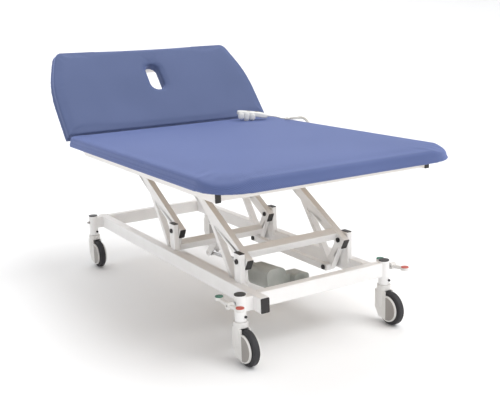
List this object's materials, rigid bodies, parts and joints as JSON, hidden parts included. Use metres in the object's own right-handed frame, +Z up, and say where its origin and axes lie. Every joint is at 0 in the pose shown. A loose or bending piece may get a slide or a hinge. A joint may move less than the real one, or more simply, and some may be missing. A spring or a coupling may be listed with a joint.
{
  "type": "medical exam table",
  "caption": "Wide two-section powered treatment table: padded top with raised, slotted head section on a parallelogram crank lift, braked castors and corded handset.",
  "frame": {"origin": "centre of the bounding box, on the floor under the tyres", "axes": "+Z up, +Y towards the head end, +X to the right of someone at the foot looking at the head end"},
  "size_m": [1.2457, 1.906, 1.2047],
  "materials": {
    "white_paint": "satin white powder coat",
    "black_plastic": "moulded black plastic",
    "castor_grey": "moulded light grey plastic",
    "wheel_grey": "moulded mid grey plastic",
    "tyre_grey": "dark grey rubber tread",
    "zinc_steel": "zinc plated",
    "bolt_black": "black oxide",
    "pad_green": "green moulded plastic",
    "pad_red": "red moulded plastic",
    "actuator_grey": "grey moulded plastic",
    "ram_steel": "polished rod",
    "plywood": "sealed birch plywood",
    "blue_upholstery": "woven-grain vinyl",
    "handset_white": "off-white moulded plastic",
    "cord_cream": "cream sheathed cord"
  },
  "bodies": {
    "base": {"base_rail_left": "white_paint", "base_rail_right": "white_paint", "base_front_tube": "white_paint", "base_rear_tube": "white_paint", "lift_posts_left": "white_paint", "lift_posts_right": "white_paint", "base_caps": "black_plastic", "castor_stems": "zinc_steel", "frame_bolts": "bolt_black"},
    "swivel_front_left": {"castor_housing_front_left": "castor_grey"},
    "wheel_front_left": {"castor_wheel_front_left": "wheel_grey", "castor_tyre_front_left": "tyre_grey"},
    "swivel_front_right": {"castor_housing_front_right": "castor_grey"},
    "wheel_front_right": {"castor_wheel_front_right": "wheel_grey", "castor_tyre_front_right": "tyre_grey"},
    "swivel_rear_left": {"castor_housing_rear_left": "castor_grey"},
    "wheel_rear_left": {"castor_wheel_rear_left": "wheel_grey", "castor_tyre_rear_left": "tyre_grey"},
    "swivel_rear_right": {"castor_housing_rear_right": "castor_grey"},
    "wheel_rear_right": {"castor_wheel_rear_right": "wheel_grey", "castor_tyre_rear_right": "tyre_grey"},
    "brake_front": {"lock_bar_front": "zinc_steel", "lock_pedals": "castor_grey", "lock_pads_green": "pad_green", "lock_pads_red": "pad_red"},
    "brake_rear": {"lock_bar_rear": "zinc_steel"},
    "brake_link": {"lock_push_rod": "zinc_steel"},
    "front_crank": {"front_crank_left": "white_paint", "front_crank_right": "white_paint", "front_crank_caps": "black_plastic", "front_crank_tube": "white_paint"},
    "rear_crank": {"rear_crank_left": "white_paint", "rear_crank_right": "white_paint", "rear_crank_caps": "black_plastic", "rear_crank_tube": "white_paint"},
    "crank_rods": {"connecting_rods": "white_paint", "rod_bolts": "bolt_black"},
    "actuator_body": {"actuator_tube": "actuator_grey", "actuator_housing": "actuator_grey"},
    "actuator_ram": {"actuator_rod": "ram_steel"},
    "top": {"top_rail_left": "white_paint", "top_rail_right": "white_paint", "top_cross_tubes": "white_paint", "top_caps": "black_plastic", "main_board": "plywood", "main_cushion": "blue_upholstery", "handset_body": "handset_white", "handset_hooks": "handset_white", "strain_relief": "handset_white", "handset_lead": "cord_cream", "handset_coil": "cord_cream", "cord_gland": "black_plastic"},
    "head": {"head_board": "plywood", "head_cushion": "blue_upholstery", "head_frame": "white_paint"},
    "strut_body": {"strut_cylinder": "bolt_black"},
    "strut_ram": {"strut_rod": "ram_steel"},
    "button_1": {"handset_button_1": "wheel_grey"},
    "button_2": {"handset_button_2": "wheel_grey"}
  },
  "joints": [
    {"name": "swivel_front_left", "type": "hinge", "parent": "base", "child": "swivel_front_left", "pos_m": [-0.372, -0.707, 0.176], "axis": [0, 0, 1], "continuous": true},
    {"name": "roll_front_left", "type": "hinge", "parent": "swivel_front_left", "child": "wheel_front_left", "pos_m": [-0.372, -0.754, 0.075], "axis": [1, 0, 0], "continuous": true},
    {"name": "swivel_front_right", "type": "hinge", "parent": "base", "child": "swivel_front_right", "pos_m": [0.372, -0.707, 0.176], "axis": [0, 0, 1], "continuous": true},
    {"name": "roll_front_right", "type": "hinge", "parent": "swivel_front_right", "child": "wheel_front_right", "pos_m": [0.372, -0.754, 0.075], "axis": [1, 0, 0], "continuous": true},
    {"name": "swivel_rear_left", "type": "hinge", "parent": "base", "child": "swivel_rear_left", "pos_m": [-0.372, 0.911, 0.176], "axis": [0, 0, 1], "continuous": true},
    {"name": "roll_rear_left", "type": "hinge", "parent": "swivel_rear_left", "child": "wheel_rear_left", "pos_m": [-0.372, 0.864, 0.075], "axis": [1, 0, 0], "continuous": true},
    {"name": "swivel_rear_right", "type": "hinge", "parent": "base", "child": "swivel_rear_right", "pos_m": [0.372, 0.911, 0.176], "axis": [0, 0, 1], "continuous": true},
    {"name": "roll_rear_right", "type": "hinge", "parent": "swivel_rear_right", "child": "wheel_rear_right", "pos_m": [0.372, 0.864, 0.075], "axis": [1, 0, 0], "continuous": true},
    {"name": "brake_pedal", "type": "hinge", "parent": "base", "child": "brake_front", "pos_m": [0, -0.707, 0.25], "axis": [1, 0, 0], "range_deg": [-18, 18]},
    {"name": "brake_rear_cam", "type": "hinge", "parent": "base", "child": "brake_rear", "pos_m": [0, 0.911, 0.25], "axis": [1, 0, 0], "range_deg": [-18, 18]},
    {"name": "brake_link_slide", "type": "slide", "parent": "base", "child": "brake_link", "axis": [0, 1, 0], "range_m": [-0.00471, 0.00471]},
    {"name": "lift", "type": "hinge", "parent": "base", "child": "rear_crank", "pos_m": [0, 0.054, 0.368], "axis": [1, 0, 0], "range_deg": [-20, 12]},
    {"name": "front_crank_turn", "type": "hinge", "parent": "base", "child": "front_crank", "pos_m": [0, -0.557, 0.368], "axis": [1, 0, 0], "range_deg": [-20, 12]},
    {"name": "top_level", "type": "hinge", "parent": "rear_crank", "child": "top", "pos_m": [0, 0.57978, 0.65705], "axis": [1, 0, 0], "range_deg": [-12, 20]},
    {"name": "rod_level", "type": "hinge", "parent": "rear_crank", "child": "crank_rods", "pos_m": [0, 0.13108, 0.22779], "axis": [1, 0, 0], "range_deg": [-12, 20]},
    {"name": "actuator_swing", "type": "hinge", "parent": "base", "child": "actuator_body", "pos_m": [0, -0.628, 0.235], "axis": [1, 0, 0], "range_deg": [-8, 8]},
    {"name": "actuator_stroke", "type": "slide", "parent": "actuator_body", "child": "actuator_ram", "axis": [0, 0.9972, -0.0743], "range_m": [-0.11, 0.07]},
    {"name": "head_tilt", "type": "hinge", "parent": "top", "child": "head", "pos_m": [0, 0.572, 0.782], "axis": [1, 0, 0], "range_deg": [-50, 4]},
    {"name": "strut_swing", "type": "hinge", "parent": "top", "child": "strut_body", "pos_m": [0, 0.514, 0.662], "axis": [1, 0, 0], "range_deg": [-37, 16]},
    {"name": "strut_stroke", "type": "slide", "parent": "strut_body", "child": "strut_ram", "axis": [0, 0.7569, 0.6536], "range_m": [-0.07, 0.03]},
    {"name": "button_1_press", "type": "slide", "parent": "top", "child": "button_1", "axis": [-0.1105, 0.0515, -0.9925], "range_m": [0, 0.0015], "stiffness_N_per_m": 600},
    {"name": "button_2_press", "type": "slide", "parent": "top", "child": "button_2", "axis": [-0.1105, 0.0515, -0.9925], "range_m": [0, 0.0015], "stiffness_N_per_m": 600}
  ],
  "couplings": [
    {"joint": "brake_rear_cam", "follows": "brake_pedal", "ratio": 1},
    {"joint": "brake_link_slide", "follows": "brake_pedal", "m_per_rad": 0.015},
    {"joint": "front_crank_turn", "follows": "lift", "ratio": 1},
    {"joint": "top_level", "follows": "lift", "ratio": -1},
    {"joint": "rod_level", "follows": "lift", "ratio": -1},
    {"joint": "actuator_swing", "follows": "lift", "ratio": 0.1843},
    {"joint": "actuator_stroke", "follows": "lift", "m_per_rad": 0.19088},
    {"joint": "strut_swing", "follows": "head_tilt", "ratio": 0.6877},
    {"joint": "strut_stroke", "follows": "head_tilt", "m_per_rad": 0.07983}
  ]
}
